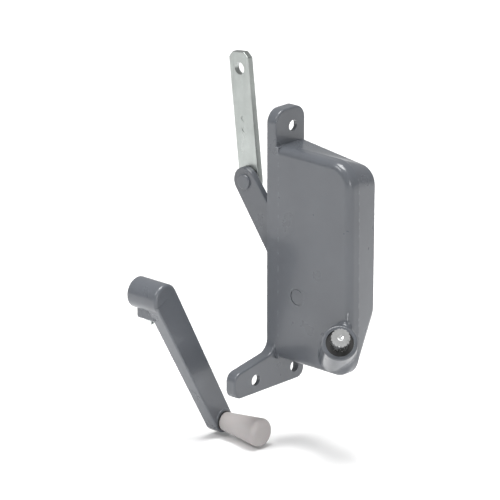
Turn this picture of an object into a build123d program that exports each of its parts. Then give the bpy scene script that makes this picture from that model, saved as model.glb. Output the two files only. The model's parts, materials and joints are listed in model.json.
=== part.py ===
from build123d import *
import math
import os

# Window crank operator, millimetres. The origin lies on the mounting face, midway between the two
# lower screw holes. +X leaves the mounting face into the room, +Y runs along the flange, +Z is up.
# The big cover face lies at Y = 0 and looks along -Y.

# Mounting flange
flange_thick = 5.75
flange_near_margin = 15.4
flange_bottom = -7.0
flange_near_top = 6.0
flange_step_top = 11.5
flange_corner = 5.0
flange_step_fillet = 7.0
ear_rise = 18.0
ear_corner = 7.0
flange_edge_round = 1.0
lower_hole_spacing = 28.6
screw_hole_radius = 2.95
web_thick = 2.25
pocket_rim = 2.2
pocket_corner = 2.0
pocket_rib = 4.0
top_hole_y = 12.7
top_hole_rise = 8.3

# Case
case_depth = 21.5
case_top = 118.7
case_bottom = 8.0
case_width = 54.8
low_flare = 0.6
case_top_corner = 12.5
case_low_corner = 11.0
rear_bottom_rise = 14.0
rear_side_draft = 1.6
rear_low_draft = 2.4
rear_top_draft = 6.7
rear_top_corner = 9.0
rear_low_corner = 22.0
rear_edge_round = 2.0
case_wall = 2.5
seam_lip = 1.75
seam_y = 7.0
cover_wall = 3.0
cover_edge_round = 3.6
slot_gap = 0.8
slot_end_gap = 1.3

# Arm and link
pivot_x = 20.2
pivot_z = 43.7
arm_length = 64.2
arm_lean = 37.4
arm_thick = 3.1
swing_up = 8.0
swing_out = 65.0
arm_pivot_radius = 9.0
arm_end_radius = 7.3
link_length = 57.15
link_lean = 6.6
link_width = 13.0
link_thick = 3.2
link_gap = 0.4
link_hole_radius = 3.175
link_clip = 2.8
link_tail = 2.0
link_corner = 0.9
dimple_radius = 1.6
dimple_depth = 0.25
rivet_radius = 3.2
rivet_head_radius = 4.0
rivet_head = 1.1
running_gap = 0.05

# Pivot stack
pin_radius = 3.5
pin_head_lip = 1.3
pin_mark_inset = 0.6
pin_mark_width = 0.5
pin_mark_depth = 0.35
pin_mark_opening = 6.0
bushing_wall = 1.5
bushing_proud = 0.4
pivot_boss_wall = 3.5
washer_lip = 3.1
front_washer_thick = 0.4
rear_washer_thick = 0.95
washer_gap = 0.1

# Sector gear and worm
tooth_module = 1.0
sector_count = 30
sector_face = 4.0
addendum_per_module = 0.8
dedendum_per_module = 1.1
tooth_half_per_module = 0.56
thread_half_per_module = 0.5
flank_angle = 20.0
spare_teeth = 1
small_rivet_radius = 1.3
small_rivet_lip = 0.35
small_rivet_head = 0.4
worm_pitch_radius = 4.4
worm_turns_below = 2
worm_turns_above = 3
worm_step = 0.3
worm_bush_wall = 1.5
bracket_wall = 1.7
bush_length = 4.0
bush_clearance = 1.9
upper_bush_gap = 3.9
thrust_thick = 0.8

# Bevel pair and crank
crank_turn_angle = 45.0
crank_rise = 35.0
bevel_count = 10
bevel_radius = 4.5
bevel_addendum = 0.55
bevel_dedendum = 0.95
bevel_half = 0.45
bevel_taper = 0.65
stub_radius = 2.2
journal_radius = 4.0
pinion_hub = 1.8
pinion_room = 1.5
crank_washer_thick = 0.75
crank_bush_wall = 1.6
boss_inner_wall = 2.0
boss_inner_length = 5.0
boss_recess_step = 1.4
boss_rim_wall = 2.0
boss_recess_depth = 3.2
seal_thick = 1.4
boss_face_z = 22.9
boss_reach = 12.7
boss_rim_round = 0.9
boss_blend = 2.5
spline_radius = 4.75
spline_reach = 22.0
ring_thick = 0.8
spline_grooves = 16
groove_width = 0.44
groove_depth = 0.4
centre_mark_radius = 1.52
centre_mark_depth = 1.5

# Handle
hub_x = -46.2
hub_y = -45.0
hub_z = 42.6
hub_radius = 8.0
hub_length = 20.0
handle_gap = 0.08
handle_bore_depth = 12.0
handle_reach_y = 35.3
handle_drop = 72.1
handle_drift = 6.0
handle_thick = 8.0
handle_end_thick = 8.0
handle_width = 15.5
handle_end_width = 12.6
lobe_width = 8.0
lobe_drop = 12.0
lobe_length = 13.0
lobe_inset = 2.5
set_screw_radius = 2.4
set_screw_offset = -1.0
set_screw_proud = 3.4
set_screw_bore_gap = 0.5
set_screw_slot = 0.7
knob_length = 26.0
knob_root_radius = 4.8
knob_end_radius = 7.65
knob_round = 2.4
knob_pin_radius = 2.0
knob_end_wall = 6.5
knob_bore_gap = 0.3
knob_washer_thick = 0.6

# Cover screws, from the rear
post_left_x = 14.0
post_low_inset = 5.3
post_top_inset = 11.7
post_side_inset = 5.6
post_corner_side = 10.1
post_corner_top = 12.5
post_middle_z = 72.0
post_radius = 2.9
post_screw_radius = 1.6
screw_head_radius = 2.9
screw_head_thick = 1.3
screw_length = 10.0
screw_clearance = 0.15
screw_head_clearance = 0.2
screw_head_depth = 0.1
recess_width = 0.6
recess_length = 4.0
recess_depth = 0.7

# Worked out from the values above
seam_x = flange_thick + seam_lip
ear_top = case_top + ear_rise
top_hole_z = case_top + top_hole_rise
flange_near_end = -(lower_hole_spacing / 2 + flange_near_margin)
case_width_low = case_width + low_flare
rear_bottom = case_bottom + rear_bottom_rise
rear_width = case_width - rear_side_draft
rear_width_low = case_width - rear_low_draft
rear_top = case_top - rear_top_draft
floor_y = case_depth - case_wall
arm_front = cover_wall + front_washer_thick + washer_gap
arm_bore = pin_radius + bushing_wall
pin_head_radius = pin_radius + pin_head_lip
washer_radius = pin_radius + washer_lip
pivot_boss_radius = pin_radius + pivot_boss_wall
small_rivet_ring = (arm_bore + arm_pivot_radius) / 2
sector_front = arm_front + arm_thick
sector_back = sector_front + sector_face
bushing_back = sector_back + bushing_proud
rear_washer_front = bushing_back + running_gap
pivot_boss_front = rear_washer_front + rear_washer_thick
slot_back = sector_front + slot_gap
least_lean = math.radians(arm_lean - swing_up)
most_lean = math.radians(arm_lean + swing_out)
slot_high = pivot_z + pivot_x / math.tan(least_lean) + arm_pivot_radius / math.sin(least_lean) + slot_end_gap
slot_low = pivot_z + pivot_x / math.tan(most_lean) - arm_pivot_radius / math.sin(most_lean) - slot_end_gap
tooth_addendum = addendum_per_module * tooth_module
tooth_dedendum = dedendum_per_module * tooth_module
tooth_half = tooth_half_per_module * tooth_module
thread_half = thread_half_per_module * tooth_module
tooth_step = 360.0 / sector_count
sector_first_tooth = -math.ceil(swing_out / tooth_step)
sector_last_tooth = math.ceil(swing_up / tooth_step) + spare_teeth
sector_pitch_radius = tooth_module * sector_count / 2
worm_root = worm_pitch_radius - tooth_dedendum
worm_journal = worm_root - worm_step
worm_bush_radius = worm_journal + worm_bush_wall
worm_pitch = math.pi * tooth_module
worm_x = pivot_x + sector_pitch_radius + worm_pitch_radius
worm_y = sector_front + sector_face / 2
rise = math.radians(crank_rise)
turn = math.radians(crank_turn_angle)
crank_axis = Vector(
    math.cos(rise) * math.cos(turn),
    -math.cos(rise) * math.sin(turn),
    math.sin(rise),
)
face_reach = worm_y / -crank_axis.Y
apex_z = boss_face_z - face_reach * crank_axis.Z
apex = Vector(worm_x, worm_y, apex_z)
cone_angle = math.radians((90.0 - crank_rise) / 2)
bevel_height = bevel_radius / math.tan(cone_angle)
boss_inner_end = bevel_height + pinion_hub + crank_washer_thick + 2 * running_gap
crank_bush_radius = journal_radius + crank_bush_wall
boss_inner_radius = crank_bush_radius + boss_inner_wall
boss_recess_radius = crank_bush_radius + boss_recess_step
boss_radius = boss_recess_radius + boss_rim_wall
boss_tip = face_reach + boss_reach
spline_tip = face_reach + spline_reach
bushing_end = boss_tip - boss_recess_depth
boss_inner_top = apex_z + boss_inner_end * crank_axis.Z + boss_inner_radius * math.cos(rise)
lower_bush_z = boss_inner_top + bush_clearance
upper_bush_z = pivot_z + worm_turns_above * worm_pitch + upper_bush_gap
post_places = [
    (post_left_x, rear_bottom + post_low_inset),
    (post_left_x, case_top - post_top_inset),
    (rear_width - post_corner_side, rear_top - post_corner_top),
    (rear_width_low - post_side_inset, post_middle_z),
]
crank_plane = Plane(origin=apex, x_dir=Vector(0, 0, 1).cross(crank_axis), z_dir=crank_axis)
worm_plane = Plane(origin=apex, x_dir=Vector(0, 0, 1).cross(crank_axis), z_dir=(0, 0, 1))
lean = math.radians(arm_lean)
rivet_x = pivot_x - arm_length * math.sin(lean)
rivet_z = pivot_z + arm_length * math.cos(lean)
link_angle = math.radians(link_lean)
link_end_x = rivet_x - link_length * math.sin(link_angle)
link_end_z = rivet_z + link_length * math.cos(link_angle)
link_front = sector_front + link_gap
link_back = link_front + link_thick
hub_end = hub_x + hub_length
knob_face_x = hub_end + handle_drift
knob_y = hub_y + handle_reach_y
knob_z = hub_z - handle_drop
knob_pin_end = knob_face_x + knob_length - knob_end_wall
lobe_start = hub_x + lobe_inset
set_screw_x = lobe_start + lobe_length / 2 + set_screw_offset


def cylinder_y(x, z, radius, y_low, y_high):
    """A cylinder along Y between two Y values."""
    return Pos(x, (y_low + y_high) / 2, z) * Rot(90, 0, 0) * Cylinder(radius, y_high - y_low)


def cylinder_x(y, z, radius, x_low, x_high):
    """A cylinder along X between two X values."""
    return Pos((x_low + x_high) / 2, y, z) * Rot(0, 90, 0) * Cylinder(radius, x_high - x_low)


def cylinder_z(x, y, radius, z_low, z_high):
    """A cylinder along Z between two Z values."""
    return Pos(x, y, (z_low + z_high) / 2) * Cylinder(radius, z_high - z_low)


def cylinder_crank(radius, low, high):
    """A cylinder on the crank's axis, between two distances from the bevel apex."""
    return crank_plane.location * Pos(0, 0, (low + high) / 2) * Cylinder(radius, high - low)


def block(x_low, x_high, y_low, y_high, z_low, z_high):
    """A box between two corners."""
    centre = Pos((x_low + x_high) / 2, (y_low + y_high) / 2, (z_low + z_high) / 2)
    return centre * Box(x_high - x_low, y_high - y_low, z_high - z_low)


def slab(face, y_low, y_high):
    """An outline drawn in X and Z, made solid between two Y values."""
    return extrude(Plane.XZ.offset(-y_high) * face, amount=y_high - y_low)


def between(front, rear, share):
    """A value part of the way from the front outline to the rear one."""
    return front + (rear - front) * share


def case_outline(left, share, inset):
    """The case's outline at a share of the way from seam to rear, moved inwards by an inset."""
    bottom = between(case_bottom, rear_bottom, share) + inset
    top_left = case_top - inset
    top_right = between(case_top, rear_top, share) - inset
    low_x = between(case_width_low, rear_width_low, share) - inset
    high_x = between(case_width, rear_width, share) - inset
    outline = Polygon(
        (left, bottom),
        (low_x, bottom),
        (high_x, top_right),
        (left, top_left),
        align=None,
    )
    corners = outline.vertices().sort_by(Axis.X)[2:].sort_by(Axis.Y)
    outline = fillet(corners[0], between(case_low_corner, rear_low_corner, share) - inset)
    top_corner = outline.vertices().filter_by(lambda v: abs(v.X - high_x) < 0.01 and v.Y > pivot_z)
    return fillet(top_corner, between(case_top_corner, rear_top_corner, share) - inset)


def place_outline(face, y):
    """An outline drawn in X and Z, placed at a Y value."""
    return Plane.XZ.offset(-y) * face


def case_loft(left, inset, y_high):
    """The drafted tub between the seam and a rear plane."""
    share = (y_high - seam_y) / (case_depth - seam_y)
    front = place_outline(case_outline(left, 0.0, inset), seam_y)
    rear = place_outline(case_outline(left, share, inset), y_high)
    return loft([front, rear], ruled=True)


def flange_plate():
    """The mounting flange: top ear, back wall and lower cross-piece in one plate."""
    outline = Polygon(
        (flange_near_end, flange_bottom),
        (case_depth, flange_bottom),
        (case_depth, ear_top),
        (0, ear_top),
        (0, flange_step_top),
        (flange_near_end, flange_near_top),
        align=None,
    )
    ear_corners = outline.vertices().filter_by(lambda v: abs(v.Y - ear_top) < 0.01)
    outline = fillet(ear_corners, ear_corner)
    step = outline.vertices().filter_by(lambda v: abs(v.Y - flange_step_top) < 0.01)
    outline = fillet(step, flange_step_fillet)
    low_corners = outline.vertices().filter_by(
        lambda v: abs(v.Y - flange_bottom) < 0.01 or abs(v.Y - flange_near_top) < 0.01
    )
    outline = fillet(low_corners, flange_corner)
    plate = extrude(Plane.YZ * outline, amount=flange_thick)
    front_edges = plate.faces().sort_by(Axis.X)[-1].edges()
    return fillet(front_edges, flange_edge_round)


def back_pocket(y_low, y_high, z_low, z_high):
    """A cored-out pocket in the flange's back that leaves a thin web at the screw holes."""
    size = y_high - y_low, z_high - z_low
    centre = Pos((y_low + y_high) / 2, (z_low + z_high) / 2)
    face = centre * RectangleRounded(*size, pocket_corner)
    return extrude(Plane.YZ * face, amount=flange_thick - web_thick)


def bearing_bracket(z_low):
    """A post on the tub's floor with a U-shaped seat, open towards the cover, for a worm bushing."""
    half = worm_bush_radius + bracket_wall
    front = worm_y - worm_bush_radius + 0.3
    bracket = block(worm_x - half, worm_x + half, front, floor_y + 0.1, z_low, z_low + bush_length)
    bracket -= cylinder_z(worm_x, worm_y, worm_bush_radius, z_low - 1, z_low + bush_length + 1)
    mouth = worm_x - worm_bush_radius, worm_x + worm_bush_radius
    return bracket - block(*mouth, front - 1, worm_y, z_low - 1, z_low + bush_length + 1)


def housing_body():
    """Flange, ear and the tub that holds the gears, cast in one piece."""
    tub = case_loft(flange_thick / 2, 0.0, case_depth)
    rear_edges = tub.faces().sort_by(Axis.Y)[-1].edges().filter_by(lambda e: e.center().X > seam_x)
    tub = fillet(rear_edges, rear_edge_round)
    body = tub - case_loft(flange_thick, case_wall, floor_y)
    body += flange_plate()
    body += block(0, seam_x, 0, seam_y, case_bottom, case_top)
    body += bearing_bracket(lower_bush_z)
    body += bearing_bracket(upper_bush_z)
    body += cylinder_y(pivot_x, pivot_z, pivot_boss_radius, pivot_boss_front, floor_y + 0.1)
    body -= cylinder_y(pivot_x, pivot_z, pin_radius, pivot_boss_front - 1, floor_y - 1)
    body -= block(-1, seam_x + 1, cover_wall, slot_back, slot_low, slot_high)
    low = flange_bottom + pocket_rim
    high = flange_near_top - pocket_rim
    far = case_depth - pocket_rim
    body -= back_pocket(flange_near_end + pocket_rim, -pocket_rib / 2, low, high)
    body -= back_pocket(pocket_rib / 2, far, low, high)
    body -= back_pocket(pocket_rim, far, case_top + pocket_rim, ear_top - pocket_rim)
    for side in (-1, 1):
        body -= cylinder_x(side * lower_hole_spacing / 2, 0, screw_hole_radius, -1, flange_thick + 1)
    body -= cylinder_x(top_hole_y, top_hole_z, screw_hole_radius, -1, flange_thick + 1)
    for x, z in post_places:
        body -= cylinder_y(x, z, post_screw_radius + screw_clearance, floor_y - 1, case_depth + 1)
        head_room = screw_head_radius + screw_head_clearance
        body -= cylinder_y(x, z, head_room, case_depth - screw_head_thick, case_depth + 1)
    return body


def lies_on_boss(edge):
    """Whether an edge lies on the boss's round outside."""
    for share in (0.2, 0.5, 0.8):
        from_apex = edge @ share - apex
        across = from_apex - crank_axis * from_apex.dot(crank_axis)
        if abs(across.length - boss_radius) > 0.001:
            return False
    return True


def front_cover():
    """The big face with its rounded rim, its screw posts and the slanted crank boss."""
    cap = slab(case_outline(seam_x, 0.0, 0.0), 0, seam_y)
    rim_edges = cap.faces().sort_by(Axis.Y)[0].edges().filter_by(lambda e: e.center().X > seam_x + 0.1)
    cap = fillet(rim_edges, cover_edge_round)
    boss = cylinder_crank(boss_radius, 2, boss_tip)
    boss = fillet(boss.edges().sort_by(Axis.Y)[0], boss_rim_round)
    boss -= block(0, 2 * case_width, seam_y, 2 * case_depth, -case_top, case_top)
    cap += boss
    root_edges = [e for e in cap.edges() if lies_on_boss(e) and abs(e.center().Y) < 0.01]
    cap = fillet(root_edges, boss_blend)
    cap -= slab(case_outline(seam_x - 1, 0.0, case_wall), cover_wall, seam_y + 1)
    cap += cylinder_crank(boss_inner_radius, boss_inner_end, boss_inner_end + boss_inner_length)
    cap -= cylinder_crank(bevel_radius + pinion_room, 3, boss_inner_end)
    cap -= cylinder_crank(crank_bush_radius, boss_inner_end - 1, boss_tip)
    cap -= cylinder_crank(boss_recess_radius, boss_tip - boss_recess_depth, boss_tip + 1)
    cap -= cylinder_y(pivot_x, pivot_z, pin_head_radius, -1, cover_wall + 1)
    for x, z in post_places:
        cap += cylinder_y(x, z, post_radius, cover_wall - 0.5, floor_y)
        tip = case_depth - screw_head_thick - screw_length
        cap -= cylinder_y(x, z, post_screw_radius, tip, floor_y + 1)
    return cap


def cover_screws():
    """Screws that enter from the rear and pull the cover's posts down, one solid each."""
    screws = []
    under_head = case_depth - screw_head_thick
    head_top = case_depth - screw_head_depth
    for x, z in post_places:
        screw = cylinder_y(x, z, post_screw_radius, under_head - screw_length, under_head)
        head = cylinder_y(x, z, screw_head_radius, under_head, head_top)
        screw += fillet(head.edges().sort_by(Axis.Y)[-1], 0.5)
        for across, along in ((recess_length, recess_width), (recess_width, recess_length)):
            cut = Box(across, 2 * recess_depth, along)
            screw -= Pos(x, head_top, z) * cut
        screws.append(screw)
    return Compound(children=screws)


def arm_pivot_pin():
    """Fixed pin through cover and housing, its head flush with the big face and marked with a C."""
    pin = cylinder_y(pivot_x, pivot_z, pin_head_radius, 0, cover_wall)
    pin += cylinder_y(pivot_x, pivot_z, pin_radius, cover_wall, floor_y - 1)
    mark_radius = pin_head_radius - pin_mark_inset
    ring = cylinder_y(pivot_x, pivot_z, mark_radius, -1, pin_mark_depth)
    ring -= cylinder_y(pivot_x, pivot_z, mark_radius - pin_mark_width, -2, 2 * pin_mark_depth)
    opening = pin_mark_opening / 2
    ring -= block(pivot_x, pivot_x + pin_head_radius, -2, 1, pivot_z - opening, pivot_z + opening)
    return pin - ring


def pivot_washers():
    """Thin washers in front of the arm and behind the sector gear."""
    washers = []
    gaps = [(cover_wall, arm_front - washer_gap), (rear_washer_front, pivot_boss_front)]
    for y_low, y_high in gaps:
        washer = cylinder_y(pivot_x, pivot_z, washer_radius, y_low, y_high)
        washer -= cylinder_y(pivot_x, pivot_z, pin_radius + running_gap, y_low - 1, y_high + 1)
        washers.append(washer)
    return Compound(children=washers)


def hull_of_circles(x_1, z_1, radius_1, x_2, z_2, radius_2):
    """The outline of a tapered bar with two round ends."""
    first = Pos(x_1, z_1) * Circle(radius_1)
    second = Pos(x_2, z_2) * Circle(radius_2)
    return make_hull(first.edges() + second.edges())


def small_rivet_spots():
    """Centres of the rivets that hold the sector gear to the arm."""
    spots = []
    for step in range(3):
        angle = math.radians(90 + arm_lean + 120 * step)
        spots.append((
            pivot_x + small_rivet_ring * math.cos(angle),
            pivot_z + small_rivet_ring * math.sin(angle),
        ))
    return spots


def arm():
    """The swing arm, wider at its pivot."""
    outline = hull_of_circles(pivot_x, pivot_z, arm_pivot_radius, rivet_x, rivet_z, arm_end_radius)
    bar = slab(outline, arm_front, sector_front)
    bar = fillet(bar.faces().sort_by(Axis.Y)[0].edges(), 0.6)
    bar -= cylinder_y(pivot_x, pivot_z, arm_bore, 0, case_depth)
    bar -= cylinder_y(rivet_x, rivet_z, rivet_radius, 0, case_depth)
    for x, z in small_rivet_spots():
        bar -= cylinder_y(x, z, small_rivet_radius, 0, case_depth)
    return bar


def arm_gear_rivets():
    """Rivets through arm and sector gear, flush in front and headed behind."""
    rivets = []
    for x, z in small_rivet_spots():
        rivet = cylinder_y(x, z, small_rivet_radius, arm_front, sector_back)
        head_radius = small_rivet_radius + small_rivet_lip
        rivets.append(rivet + cylinder_y(x, z, head_radius, sector_back, sector_back + small_rivet_head))
    return Compound(children=rivets)


def sector_gear():
    """The toothed sector that the worm drives."""
    root = sector_pitch_radius - tooth_dedendum
    tip = sector_pitch_radius + tooth_addendum
    slope = math.tan(math.radians(flank_angle))
    first = (sector_first_tooth - 0.5) * tooth_step
    last = (sector_last_tooth + 0.5) * tooth_step
    pie = make_face(
        Line((0, 0), (root * math.cos(math.radians(first)), root * math.sin(math.radians(first))))
        + CenterArc((0, 0), root, first, last - first)
        + Line((root * math.cos(math.radians(last)), root * math.sin(math.radians(last))), (0, 0))
    )
    root_half = tooth_half + tooth_dedendum * slope
    tip_half = tooth_half - tooth_addendum * slope
    outline = pie + Circle(arm_pivot_radius)
    for count in range(sector_first_tooth, sector_last_tooth + 1):
        tooth = Polygon(
            (root - 0.3, -root_half),
            (tip, -tip_half),
            (tip, tip_half),
            (root - 0.3, root_half),
            align=None,
        )
        outline += Rot(0, 0, count * tooth_step) * tooth
    gear = slab(Pos(pivot_x, pivot_z) * outline, sector_front, sector_back)
    gear -= cylinder_y(pivot_x, pivot_z, arm_bore, 0, case_depth)
    for x, z in small_rivet_spots():
        gear -= cylinder_y(x, z, small_rivet_radius, 0, case_depth)
    return gear


def arm_bushing():
    """Bronze sleeve pressed in arm and sector gear, turning on the pin."""
    sleeve = cylinder_y(pivot_x, pivot_z, arm_bore, arm_front, bushing_back)
    return sleeve - cylinder_y(pivot_x, pivot_z, pin_radius + running_gap, 0, case_depth)


def link():
    """The zinc-plated bar that pushes the window, with an eye at its far end."""
    half = link_width / 2
    link_top = link_length + half + link_tail
    bar = Polygon(
        (-half, 0),
        (half, 0),
        (half, link_top - link_clip),
        (half - link_clip, link_top),
        (link_clip - half, link_top),
        (-half, link_top - link_clip),
        align=None,
    )
    clipped = bar.vertices().filter_by(lambda v: v.Y > link_length)
    bar = fillet(clipped, link_corner)
    outline = Pos(rivet_x, rivet_z) * Rot(0, 0, link_lean) * (bar + Circle(half))
    plate = slab(outline, link_front, link_back)
    plate = fillet(plate.faces().sort_by(Axis.Y)[0].edges(), 0.35)
    plate -= cylinder_y(rivet_x, rivet_z, rivet_radius + running_gap, 0, case_depth)
    plate -= cylinder_y(link_end_x, link_end_z, link_hole_radius, 0, case_depth)
    for share in (0.45, 0.55):
        x = between(rivet_x, link_end_x, share)
        z = between(rivet_z, link_end_z, share)
        plate -= cylinder_y(x, z, dimple_radius, link_front - 1, link_front + dimple_depth)
    return plate


def link_rivet():
    """Shouldered rivet, fixed in the arm, that the link turns on."""
    back = link_back + running_gap
    front_head = cylinder_y(rivet_x, rivet_z, rivet_head_radius, arm_front - rivet_head, arm_front)
    front_head = fillet(front_head.edges().sort_by(Axis.Y)[0], 0.7)
    rear_head = cylinder_y(rivet_x, rivet_z, rivet_head_radius + 0.6, back, back + rivet_head)
    rear_head = fillet(rear_head.edges().sort_by(Axis.Y)[-1], 0.7)
    return front_head + rear_head + cylinder_y(rivet_x, rivet_z, rivet_radius, arm_front, back)


def link_washer():
    """Washer between arm and link, held on the rivet against the arm."""
    ring = cylinder_y(rivet_x, rivet_z, link_width / 2 - 0.7, sector_front, link_front - running_gap)
    return ring - cylinder_y(rivet_x, rivet_z, rivet_radius, 0, case_depth)


def bush_ring(z_low):
    """A bronze worm bushing."""
    ring = cylinder_z(worm_x, worm_y, worm_bush_radius, z_low, z_low + bush_length)
    return ring - cylinder_z(worm_x, worm_y, worm_journal + running_gap, z_low - 1, z_low + bush_length + 1)


def worm_thrust_washer():
    """Steel washer that takes the worm's end load on the lower bushing."""
    low = lower_bush_z + bush_length
    ring = cylinder_z(worm_x, worm_y, worm_bush_radius, low, low + thrust_thick)
    return ring - cylinder_z(worm_x, worm_y, worm_journal + running_gap, low - 1, low + thrust_thick + 1)


def worm():
    """Single-start right-handed worm, cut in one piece with its shaft."""
    slope = math.tan(math.radians(flank_angle))
    start_z = pivot_z - worm_turns_below * worm_pitch
    thread_length = (worm_turns_below + worm_turns_above) * worm_pitch
    helix = Pos(worm_x, worm_y, start_z) * Helix(worm_pitch, thread_length, worm_root)
    at_start = Plane(origin=helix @ 0, x_dir=(1, 0, 0), z_dir=helix % 0)
    depth = tooth_dedendum + tooth_addendum
    root_half = thread_half + tooth_dedendum * slope
    tip_half = thread_half - tooth_addendum * slope
    profile = Polygon(
        (-0.25, -root_half),
        (depth, -tip_half),
        (depth, tip_half),
        (-0.25, root_half),
        align=None,
    )
    thread = sweep(at_start * profile, path=helix, is_frenet=True)
    collar_low = lower_bush_z + bush_length + thrust_thick + running_gap
    shaft = cylinder_z(worm_x, worm_y, worm_root, collar_low, upper_bush_z - 0.3)
    shaft += cylinder_z(worm_x, worm_y, worm_journal, lower_bush_z - 0.4, upper_bush_z + bush_length + 1)
    shaft += cylinder_z(worm_x, worm_y, stub_radius, apex.Z + bevel_height - 0.6, lower_bush_z)
    return shaft + thread


def bevel_gear(hub_height, twist):
    """A bevel gear on +Z with its apex at the origin, and a hub behind its large end."""
    root = bevel_radius - bevel_dedendum
    tip = bevel_radius + bevel_addendum
    small = bevel_height * bevel_taper
    height = bevel_height - small
    gear = Pos(0, 0, small + height / 2) * Cone(root * bevel_taper, root, height)
    gear += Pos(0, 0, bevel_height + hub_height / 2) * Cylinder(root, hub_height)
    root_half = bevel_half * 1.7
    tip_half = bevel_half * 0.45
    for count in range(bevel_count):
        tooth = Polygon(
            (root - 1.0, -root_half),
            (tip, -tip_half),
            (tip, tip_half),
            (root - 1.0, root_half),
            align=None,
        )
        large = Pos(0, 0, bevel_height) * tooth
        lesser = Pos(0, 0, small) * scale(tooth, by=bevel_taper)
        gear += Rot(0, 0, twist + count * 360 / bevel_count) * loft([lesser, large], ruled=True)
    return gear - Pos(0, 0, bevel_height + hub_height / 2 - 0.3) * Cylinder(stub_radius, hub_height + 0.6)


def worm_bevel_gear():
    """Bevel gear on the worm's lower end."""
    hub = lower_bush_z - 0.4 - apex.Z - bevel_height
    return worm_plane.location * bevel_gear(hub, -90.0)


def crank_bevel_pinion():
    """Bevel pinion on the crank shaft's inner end."""
    return crank_plane.location * bevel_gear(pinion_hub, 90.0 + 180.0 / bevel_count)


def crank_thrust_washer():
    """Washer between the pinion and the crank bushing."""
    low = bevel_height + pinion_hub + running_gap
    ring = cylinder_crank(crank_bush_radius, low, low + crank_washer_thick)
    return ring - cylinder_crank(stub_radius + running_gap, low - 1, low + 2)


def crank_bushing():
    """Bronze sleeve in the cover's boss."""
    sleeve = cylinder_crank(crank_bush_radius, boss_inner_end, bushing_end)
    return sleeve - cylinder_crank(journal_radius + running_gap, boss_inner_end - 1, bushing_end + 1)


def crank_seal():
    """Felt ring in the boss's mouth."""
    low = bushing_end + ring_thick + 2 * running_gap
    ring = cylinder_crank(boss_recess_radius, low, low + seal_thick)
    return ring - cylinder_crank(journal_radius + running_gap, low - 1, low + 3)


def crank_retaining_ring():
    """Snap ring on the shaft that holds it in the bushing."""
    low = bushing_end + running_gap
    ring = cylinder_crank(crank_bush_radius, low, low + ring_thick)
    return ring - cylinder_crank(journal_radius, low - 1, low + 3)


def crank_shaft():
    """Crank shaft with a serrated end for the handle."""
    journal_low = boss_inner_end + running_gap
    shaft = cylinder_crank(stub_radius, bevel_height - 0.6, journal_low)
    shaft += cylinder_crank(journal_radius, journal_low, boss_tip)
    end = cylinder_crank(spline_radius, boss_tip, spline_tip)
    groove = Box(2 * groove_depth, groove_width, spline_tip - boss_tip + 0.02)
    groove = Pos(spline_radius, 0, (boss_tip + spline_tip) / 2) * groove
    for count in range(spline_grooves):
        end -= crank_plane.location * Rot(0, 0, count * 360 / spline_grooves) * groove
    mark = Cone(centre_mark_radius / 4, centre_mark_radius, centre_mark_depth + 0.02)
    end -= crank_plane.location * Pos(0, 0, spline_tip - centre_mark_depth / 2) * mark
    return shaft + end


def handle_arm():
    """Hub and arm of the crank handle, cast in one piece."""
    hub = cylinder_x(hub_y, hub_z, hub_radius, hub_x, hub_end)
    hub = fillet(hub.edges().sort_by(Axis.X)[-1], 1.6)
    hub = fillet(hub.edges().sort_by(Axis.X)[0], 0.7)
    top_centre = Vector(hub_end - handle_thick / 2, hub_y, hub_z)
    low_centre = Vector(knob_face_x - handle_end_thick / 2, knob_y, knob_z)
    direction = low_centre - top_centre
    top_plane = Plane(origin=top_centre, x_dir=(1, 0, 0.083), z_dir=direction)
    low_plane = Plane(origin=low_centre, x_dir=(1, 0, 0.083), z_dir=direction)
    bar = loft([
        top_plane * RectangleRounded(handle_thick, handle_width, 0.8),
        low_plane * RectangleRounded(handle_end_thick, handle_end_width, 0.8),
    ])
    tip = cylinder_x(knob_y, knob_z, handle_end_width / 2, knob_face_x - handle_end_thick, knob_face_x)
    tip = fillet(tip.edges(), 0.8)
    lobe = block(
        lobe_start, lobe_start + lobe_length,
        hub_y - lobe_width / 2, hub_y + lobe_width / 2,
        hub_z - lobe_drop, hub_z,
    )
    lobe = fillet(lobe.edges().filter_by(Axis.Z), 1.5)
    lobe = fillet(lobe.faces().sort_by(Axis.Z)[0].edges(), 1.0)
    body = hub + bar + tip + lobe
    body -= cylinder_x(hub_y, hub_z, spline_radius + handle_gap, hub_x - 1, hub_x + handle_bore_depth)
    body -= cylinder_z(set_screw_x, hub_y, set_screw_radius, hub_z - lobe_drop - 1, hub_z)
    body -= cylinder_x(knob_y, knob_z, knob_pin_radius, knob_face_x - 2 * handle_thick, knob_face_x + 1)
    body -= cylinder_x(knob_y, knob_z, handle_width, knob_face_x, knob_face_x + handle_thick)
    return body


def handle_set_screw():
    """Slotted set screw under the hub, clear of the bore."""
    low = hub_z - lobe_drop - set_screw_proud
    high = hub_z - spline_radius - set_screw_bore_gap
    screw = cylinder_z(set_screw_x, hub_y, set_screw_radius, low, high)
    screw = fillet(screw.edges().sort_by(Axis.Z)[0], 0.5)
    return screw - Pos(set_screw_x, hub_y, low) * Box(4 * set_screw_radius, set_screw_slot, 2.0)


def knob_pin():
    """Rivet pin, fixed in the handle arm, that the knob spins on."""
    return cylinder_x(knob_y, knob_z, knob_pin_radius, knob_face_x - handle_end_thick, knob_pin_end)


def knob_washer():
    """Dark washer at the knob's root."""
    ring = cylinder_x(knob_y, knob_z, knob_root_radius + 0.25, knob_face_x, knob_face_x + knob_washer_thick)
    return ring - cylinder_x(knob_y, knob_z, knob_pin_radius, knob_face_x - 1, knob_face_x + 2)


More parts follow.
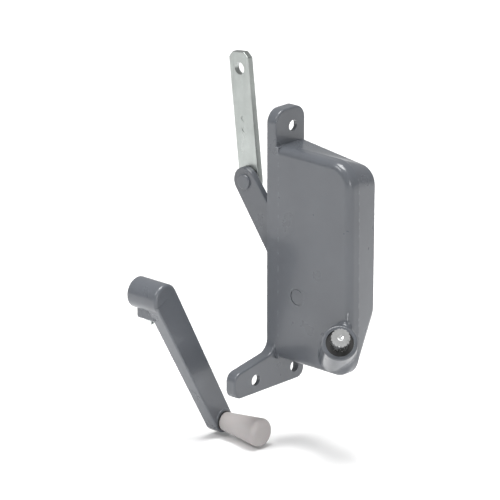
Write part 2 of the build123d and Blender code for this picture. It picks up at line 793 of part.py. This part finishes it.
def handle_knob():
    """Moulded knob, wider at its free end."""
    start = knob_face_x + knob_washer_thick + running_gap
    profile = Polygon(
        (0, 0),
        (0, knob_root_radius),
        (knob_length, knob_end_radius),
        (knob_length, 0),
        align=None,
    )
    far_corner = profile.vertices().sort_by(Axis.Y)[-1]
    profile = fillet(far_corner, knob_round)
    near_corner = profile.vertices().filter_by(lambda v: v.X < 0.01 and v.Y > 1)
    profile = fillet(near_corner, 0.5)
    body = Pos(start, knob_y, knob_z) * revolve(Plane.XY * profile, Axis.X)
    bore_radius = knob_pin_radius + running_gap
    return body - cylinder_x(knob_y, knob_z, bore_radius, start - 1, knob_pin_end + knob_bore_gap)


nodes = {
    "housing_body": housing_body(),
    "front_cover": front_cover(),
    "cover_screws": cover_screws(),
    "arm_pivot_pin": arm_pivot_pin(),
    "pivot_washers": pivot_washers(),
    "arm": arm(),
    "arm_gear_rivets": arm_gear_rivets(),
    "arm_bushing": arm_bushing(),
    "sector_gear": sector_gear(),
    "link": link(),
    "link_rivet": link_rivet(),
    "link_washer": link_washer(),
    "worm": worm(),
    "worm_lower_bushing": bush_ring(lower_bush_z),
    "worm_upper_bushing": bush_ring(upper_bush_z),
    "worm_thrust_washer": worm_thrust_washer(),
    "worm_bevel_gear": worm_bevel_gear(),
    "crank_bevel_pinion": crank_bevel_pinion(),
    "crank_thrust_washer": crank_thrust_washer(),
    "crank_bushing": crank_bushing(),
    "crank_retaining_ring": crank_retaining_ring(),
    "crank_seal": crank_seal(),
    "crank_shaft": crank_shaft(),
    "handle_arm": handle_arm(),
    "handle_set_screw": handle_set_screw(),
    "knob_pin": knob_pin(),
    "knob_washer": knob_washer(),
    "handle_knob": handle_knob(),
}

os.makedirs("parts", exist_ok=True)
for name, shape in nodes.items():
    export_step(shape, os.path.join("parts", name + ".step"))
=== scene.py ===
import json
import math

import bpy
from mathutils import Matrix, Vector


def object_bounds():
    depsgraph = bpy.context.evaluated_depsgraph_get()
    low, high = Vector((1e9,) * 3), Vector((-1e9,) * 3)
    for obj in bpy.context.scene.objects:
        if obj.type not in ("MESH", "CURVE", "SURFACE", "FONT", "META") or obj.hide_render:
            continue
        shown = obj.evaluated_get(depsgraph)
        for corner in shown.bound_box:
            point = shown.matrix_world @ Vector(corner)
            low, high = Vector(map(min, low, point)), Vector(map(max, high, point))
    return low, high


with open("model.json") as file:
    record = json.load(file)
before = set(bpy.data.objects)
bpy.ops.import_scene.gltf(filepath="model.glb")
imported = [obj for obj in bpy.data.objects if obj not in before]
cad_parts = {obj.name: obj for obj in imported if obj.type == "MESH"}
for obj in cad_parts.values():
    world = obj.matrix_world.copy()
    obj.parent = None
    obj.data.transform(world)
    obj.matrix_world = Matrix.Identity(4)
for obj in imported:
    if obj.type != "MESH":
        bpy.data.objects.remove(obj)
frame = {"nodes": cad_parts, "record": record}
cad_low, cad_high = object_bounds()
scene = bpy.context.scene
nodes = frame["nodes"]
mm = 0.001

# Camera: azimuth is measured from -Y towards +X, in degrees
CAMERA_AZIMUTH = 43.0
CAMERA_ELEVATION = 18.5
CAMERA_DISTANCE = 2.2
CAMERA_NEAREST = 0.05
CAMERA_FARTHEST = 30.0
VIEW_WIDTH = 0.25
SENSOR_WIDTH = 36.0
CAMERA_TARGET = Vector((-11.6, 0.0, 61.2)) * mm

# Surroundings
FLOOR_GAP = 1.0 * mm
FLOOR_HALF_WIDTH = 6.0
FLOOR_COLOUR = (0.95, 0.95, 0.95, 1.0)
FLOOR_ROUGHNESS = 0.9
FLOOR_SPECULAR = 0.1
WORLD_COLOUR = (1.0, 1.0, 1.0, 1.0)
WORLD_STRENGTH = 0.42

# A noise texture's values lie mostly between these
NOISE_LOW = 0.3
NOISE_HIGH = 0.7

# How far two surface directions agree on a flat surface, and on a sharp edge
FLAT_AGREEMENT = 0.995
EDGE_AGREEMENT = 0.90
BEVEL_SAMPLES = 6

# Base colours
GREY = (0.086, 0.093, 0.105)
LINK_ZINC = (0.42, 0.445, 0.43)
SCREW_ZINC = (0.66, 0.69, 0.68)
SPLINE_ZINC = (0.95, 0.97, 0.96)
GEAR_STEEL = (0.42, 0.42, 0.43)
BRONZE = (0.55, 0.36, 0.17)
BRONZE_PORE = (0.20, 0.12, 0.06)
FELT_DARK = (0.008, 0.008, 0.009)
FELT_LIGHT = (0.035, 0.034, 0.033)
KNOB_GREY = (0.36, 0.338, 0.334)

# Turns the link's noise after its stretch, so the streaks themselves still run along Z
LINK_NOISE_TURN = math.radians(-6.6)


def shade(colour, factor, lift=0.0):
    """A colour made darker or lighter, with no channel above 1."""
    return tuple(min(1.0, c * factor + lift) for c in colour)


# ---- node trees ----

class Tree:
    """One material's node tree, with its Principled shader."""

    def __init__(self, name):
        self.material = bpy.data.materials.new(name)
        self.material.use_nodes = True
        self.tree = self.material.node_tree
        self.shader = self.tree.nodes["Principled BSDF"]
        self.place = self.add("ShaderNodeTexCoord").outputs["Object"]

    def add(self, kind, **values):
        node = self.tree.nodes.new(kind)
        for key, value in values.items():
            setattr(node, key, value)
        return node

    def link(self, source, target):
        self.tree.links.new(source, target)

    def fixed(self, **values):
        """Sets constants on the shader's own sockets."""
        for key, value in values.items():
            self.shader.inputs[key.replace("_", " ")].default_value = value

    def mapped(self, stretch):
        """The object's coordinates, scaled and then turned if a stretch is given."""
        if stretch is None:
            return self.place
        scale, turn = stretch
        node = self.add("ShaderNodeMapping")
        node.inputs["Scale"].default_value = scale
        node.inputs["Rotation"].default_value = turn
        self.link(self.place, node.inputs["Vector"])
        return node.outputs["Vector"]

    def noise(self, scale, detail, rough, stretch=None, distortion=0.0):
        node = self.add("ShaderNodeTexNoise")
        node.inputs["Scale"].default_value = scale
        node.inputs["Detail"].default_value = detail
        node.inputs["Roughness"].default_value = rough
        node.inputs["Distortion"].default_value = distortion
        self.link(self.mapped(stretch), node.inputs["Vector"])
        return node.outputs["Fac"]

    def spangles(self, scale):
        """The distance to the middle of the nearest crystal."""
        node = self.add("ShaderNodeTexVoronoi", feature="F1")
        node.inputs["Scale"].default_value = scale
        self.link(self.place, node.inputs["Vector"])
        return node.outputs["Distance"]

    def ramp(self, source, low, high, from_value=0.0, to_value=1.0):
        """Maps low to from_value and high to to_value, and holds the ends."""
        node = self.add("ShaderNodeMapRange", clamp=True)
        node.inputs["From Min"].default_value = low
        node.inputs["From Max"].default_value = high
        node.inputs["To Min"].default_value = from_value
        node.inputs["To Max"].default_value = to_value
        self.link(source, node.inputs["Value"])
        return node.outputs["Result"]

    def spread(self, noise, from_value=0.0, to_value=1.0):
        """Maps a noise's usual values to a range."""
        return self.ramp(noise, NOISE_LOW, NOISE_HIGH, from_value, to_value)

    def times(self, first, second):
        node = self.add("ShaderNodeMath", operation="MULTIPLY")
        for value, socket in zip((first, second), node.inputs):
            if isinstance(value, float):
                socket.default_value = value
            else:
                self.link(value, socket)
        return node.outputs["Value"]

    def mix(self, share, first, second):
        node = self.add("ShaderNodeMix", data_type="RGBA")
        self.link(share, node.inputs["Factor"])
        sockets = [s for s in node.inputs if s.type == "RGBA"]
        for value, socket in zip((first, second), sockets):
            if isinstance(value, tuple):
                socket.default_value = (*value, 1.0)
            else:
                self.link(value, socket)
        return [s for s in node.outputs if s.type == "RGBA"][0]

    def layer(self, body, colour, mask, share):
        """Lays a colour over the body where the mask is bright, by a share of it."""
        return self.mix(self.times(mask, share), body, colour)

    def bump(self, height, distance, strength, below=None):
        node = self.add("ShaderNodeBump")
        node.inputs["Distance"].default_value = distance
        node.inputs["Strength"].default_value = strength
        self.link(height, node.inputs["Height"])
        if below is not None:
            self.link(below, node.inputs["Normal"])
        return node.outputs["Normal"]

    def edges(self, radius):
        """Near 1 where the surface turns sharply within a radius, and 0 where it is flat."""
        bevel = self.add("ShaderNodeBevel", samples=BEVEL_SAMPLES)
        bevel.inputs["Radius"].default_value = radius
        geometry = self.add("ShaderNodeNewGeometry")
        dot = self.add("ShaderNodeVectorMath", operation="DOT_PRODUCT")
        self.link(bevel.outputs["Normal"], dot.inputs[0])
        self.link(geometry.outputs["Normal"], dot.inputs[1])
        return self.ramp(dot.outputs["Value"], FLAT_AGREEMENT, EDGE_AGREEMENT)

    def colour(self, source):
        self.link(source, self.shader.inputs["Base Color"])

    def roughness(self, source):
        self.link(source, self.shader.inputs["Roughness"])

    def normal(self, source):
        self.link(source, self.shader.inputs["Normal"])


# ---- materials ----

def enamel(name, base, wear_and_highlight=0.5):
    """Sprayed gloss enamel: orange peel, faint cloudiness, specks, and lighter edges that are partly thin
    paint and partly a painted highlight.
    """
    t = Tree(name)
    cloud = t.spread(t.noise(38.0, detail=4.0, rough=0.55))
    body = t.mix(cloud, shade(base, 0.93), shade(base, 1.06))
    speck = t.ramp(t.noise(2600.0, detail=2.0, rough=0.6), low=0.70, high=0.78)
    body = t.layer(body, shade(base, 0.55), speck, share=0.25)
    patchy = t.ramp(t.noise(260.0, detail=4.0, rough=0.65), low=0.50, high=0.62)
    thin_paint_and_highlight = t.times(t.edges(0.9 * mm), patchy)
    # Lighter edges: partly paint worn thin, partly a painted highlight.
    body = t.layer(body, shade(base, 1.9, lift=0.06), thin_paint_and_highlight, share=wear_and_highlight)
    t.colour(body)
    smear = t.noise(55.0, detail=4.0, rough=0.55)
    t.roughness(t.spread(smear, 0.26, 0.34))
    peel = t.bump(t.noise(520.0, detail=2.0, rough=0.45), distance=0.10 * mm, strength=0.16)
    fine = t.noise(2400.0, detail=2.0, rough=0.5)
    t.normal(t.bump(fine, distance=0.02 * mm, strength=0.10, below=peel))
    t.fixed(IOR=1.5, Coat_Weight=0.3, Coat_Roughness=0.10)
    return t.material


def zinc_plate(name, base, noise_turn, rough=(0.26, 0.42), marks=0.35):
    """Zinc-plated steel: spangled and cloudy, with rolled streaks along Z and a painted highlight on its
    edges.
    """
    t = Tree(name)
    turn = (0.0, noise_turn, 0.0)
    tone = t.ramp(t.spangles(420.0), low=0.0, high=0.9)
    cloud = t.spread(t.noise(90.0, detail=4.0, rough=0.6))
    body = t.mix(cloud, shade(base, 0.86), shade(base, 1.05))
    body = t.layer(body, shade(base, 0.78), tone, share=0.25)
    streaks = t.noise(900.0, detail=3.0, rough=0.6, stretch=((1.0, 1.0, 0.03), turn))
    lines = t.ramp(streaks, low=0.60, high=0.70)
    body = t.layer(body, shade(base, 0.62), lines, share=marks)
    # Lighter edges: a painted highlight.
    body = t.layer(body, shade(base, 1.2), t.edges(0.5 * mm), share=0.35)
    t.colour(body)
    blur = t.noise(300.0, detail=4.0, rough=0.6, stretch=((1.0, 1.0, 0.15), turn))
    t.roughness(t.spread(blur, *rough))
    rolled = t.bump(streaks, distance=0.03 * mm, strength=0.25)
    fine = t.noise(1500.0, detail=3.0, rough=0.6)
    t.normal(t.bump(fine, distance=0.02 * mm, strength=0.20, below=rolled))
    t.fixed(Metallic=1.0)
    return t.material


def turned_steel(name, base, rough=(0.18, 0.34), oil=0.3):
    """Machined steel with darker oily stains and a painted highlight on its edges."""
    t = Tree(name)
    stain = t.ramp(t.noise(180.0, detail=5.0, rough=0.6), low=0.42, high=0.68)
    body = t.layer(base, shade(base, 0.45), stain, share=oil)
    # Brighter edges: a painted highlight.
    body = t.layer(body, shade(base, 1.3), t.edges(0.3 * mm), share=0.5)
    t.colour(body)
    t.roughness(t.spread(t.noise(700.0, detail=4.0, rough=0.6), *rough))
    fine = t.noise(3000.0, detail=2.0, rough=0.6)
    t.normal(t.bump(fine, distance=0.015 * mm, strength=0.25))
    t.fixed(Metallic=1.0)
    return t.material


def sintered_bronze(name):
    """Porous bronze, oiled."""
    t = Tree(name)
    pores = t.ramp(t.noise(2600.0, detail=2.0, rough=0.6), low=0.58, high=0.66)
    t.colour(t.layer(BRONZE, BRONZE_PORE, pores, share=0.7))
    t.roughness(t.spread(t.noise(500.0, detail=3.0, rough=0.5), 0.3, 0.5))
    t.normal(t.bump(pores, distance=0.03 * mm, strength=0.4))
    t.fixed(Metallic=1.0)
    return t.material


def felt(name):
    """Dark oiled felt."""
    t = Tree(name)
    fibre = t.noise(3200.0, detail=4.0, rough=0.7, stretch=((1.0, 0.3, 1.0), (0.5, 0.3, 0.0)))
    t.colour(t.mix(fibre, FELT_DARK, FELT_LIGHT))
    t.roughness(t.spread(fibre, 0.55, 0.9))
    t.normal(t.bump(fibre, distance=0.12 * mm, strength=0.7))
    return t.material


def moulded_plastic(name, base):
    """Satin moulded plastic: faint flow lines, fine tool texture, and lighter edges that are partly
    rubbed high spots and partly a painted highlight.
    """
    t = Tree(name)
    along_x = ((0.25, 1.0, 1.0), (0.0, 0.0, 0.0))
    flow = t.spread(t.noise(60.0, detail=4.0, rough=0.5, stretch=along_x, distortion=0.8))
    body = t.mix(flow, shade(base, 0.95), shade(base, 1.04))
    dust = t.ramp(t.noise(1900.0, detail=3.0, rough=0.6), low=0.66, high=0.74)
    body = t.layer(body, shade(base, 0.6), dust, share=0.18)
    # Lighter edges: partly rubbed high spots, partly a painted highlight.
    body = t.layer(body, shade(base, 1.25), t.edges(1.4 * mm), share=0.25)
    t.colour(body)
    t.roughness(t.spread(t.noise(240.0, detail=4.0, rough=0.6), 0.34, 0.48))
    tooling = t.noise(1400.0, detail=3.0, rough=0.55)
    t.normal(t.bump(tooling, distance=0.05 * mm, strength=0.22))
    t.fixed(IOR=1.48, Subsurface_Weight=0.05, Subsurface_Scale=1.0 * mm)
    return t.material


# The whole rivet_steel slot is painted, though the record calls it zinc-plated steel
# and the photograph shows paint on the link rivet alone.
finishes = {
    "grey_enamel": enamel("grey_enamel_paint", GREY),
    "arm_enamel": enamel("arm_enamel_paint", shade(GREY, 0.95), wear_and_highlight=0.7),
    # The handle's paint is made lighter than the case's: painted light, lifting its shaded broad face.
    "handle_enamel": enamel("handle_enamel_lit_copy", shade(GREY, 1.10), wear_and_highlight=0.6),
    "pin_enamel": enamel("pin_enamel_paint", shade(GREY, 0.97), wear_and_highlight=0.3),
    "zinc_plate": zinc_plate("link_zinc", LINK_ZINC, LINK_NOISE_TURN),
    "rivet_steel": enamel("rivet_painted", GREY, wear_and_highlight=0.9),
    "screw_zinc": turned_steel("screw_zinc_plate", SCREW_ZINC, rough=(0.2, 0.34), oil=0.2),
    "gear_steel": turned_steel("gear_oiled_steel", GEAR_STEEL),
    "spline_steel": zinc_plate("spline_zinc", SPLINE_ZINC, 0.0, rough=(0.10, 0.30), marks=0.5),
    "bronze": sintered_bronze("bushing_bronze"),
    "seal_felt": felt("seal_black_felt"),
    "washer_black": felt("washer_black_fibre"),
    "knob_plastic": moulded_plastic("knob_warm_grey", KNOB_GREY),
}

slot_of_node = {row["node"]: row["material_slot"] for row in frame["record"]["subparts"]}
for name, node in nodes.items():
    node.data.materials.clear()
    node.data.materials.append(finishes[slot_of_node[name]])


# ---- floor, light and camera ----

def pale_floor():
    """A large plain pale floor just under the lowest point."""
    half = FLOOR_HALF_WIDTH
    height = cad_low.z - FLOOR_GAP
    corners = [(-half, -half, height), (half, -half, height), (half, half, height), (-half, half, height)]
    mesh = bpy.data.meshes.new("floor")
    mesh.from_pydata(corners, [], [(0, 1, 2, 3)])
    floor = bpy.data.objects.new("floor", mesh)
    scene.collection.objects.link(floor)
    material = bpy.data.materials.new("floor_pale")
    material.use_nodes = True
    shader = material.node_tree.nodes["Principled BSDF"]
    shader.inputs["Base Color"].default_value = FLOOR_COLOUR
    shader.inputs["Roughness"].default_value = FLOOR_ROUGHNESS
    shader.inputs["Specular IOR Level"].default_value = FLOOR_SPECULAR
    mesh.materials.append(material)


def direction(azimuth, elevation):
    """Unit vector from the object, azimuth from -Y towards +X, in degrees."""
    a = math.radians(azimuth)
    e = math.radians(elevation)
    return Vector((math.sin(a) * math.cos(e), -math.cos(a) * math.cos(e), math.sin(e)))


def aim(thing, azimuth, elevation, distance):
    """Places a camera or light at a distance from the target, looking at it."""
    away = direction(azimuth, elevation)
    thing.location = CAMERA_TARGET + away * distance
    thing.rotation_mode = "QUATERNION"
    thing.rotation_quaternion = (-away).to_track_quat("-Z", "Y")
    scene.collection.objects.link(thing)


def soft_light(name, azimuth, elevation, distance, size, power):
    """A square studio light that looks at the object."""
    data = bpy.data.lights.new(name, "AREA")
    data.shape = "SQUARE"
    data.size = size
    data.energy = power
    aim(bpy.data.objects.new(name, data), azimuth, elevation, distance)


def studio():
    """Even pale surroundings with a broad key, a side light and a strong top light."""
    world = bpy.data.worlds.new("studio")
    world.use_nodes = True
    background = world.node_tree.nodes["Background"]
    background.inputs["Color"].default_value = WORLD_COLOUR
    background.inputs["Strength"].default_value = WORLD_STRENGTH
    scene.world = world
    soft_light("key", azimuth=-16.0, elevation=44.0, distance=1.6, size=0.6, power=8.0)
    soft_light("side", azimuth=68.0, elevation=12.0, distance=1.7, size=0.5, power=5.0)
    soft_light("top", azimuth=60.0, elevation=88.0, distance=1.6, size=0.9, power=34.0)


def camera():
    """A long lens at the product view's angle."""
    data = bpy.data.cameras.new("camera")
    data.sensor_width = SENSOR_WIDTH
    data.lens = SENSOR_WIDTH * CAMERA_DISTANCE / VIEW_WIDTH
    data.clip_start = CAMERA_NEAREST
    data.clip_end = CAMERA_FARTHEST
    eye = bpy.data.objects.new("camera", data)
    aim(eye, CAMERA_AZIMUTH, CAMERA_ELEVATION, CAMERA_DISTANCE)
    scene.camera = eye


scene.view_settings.view_transform = "Standard"
pale_floor()
studio()
camera()
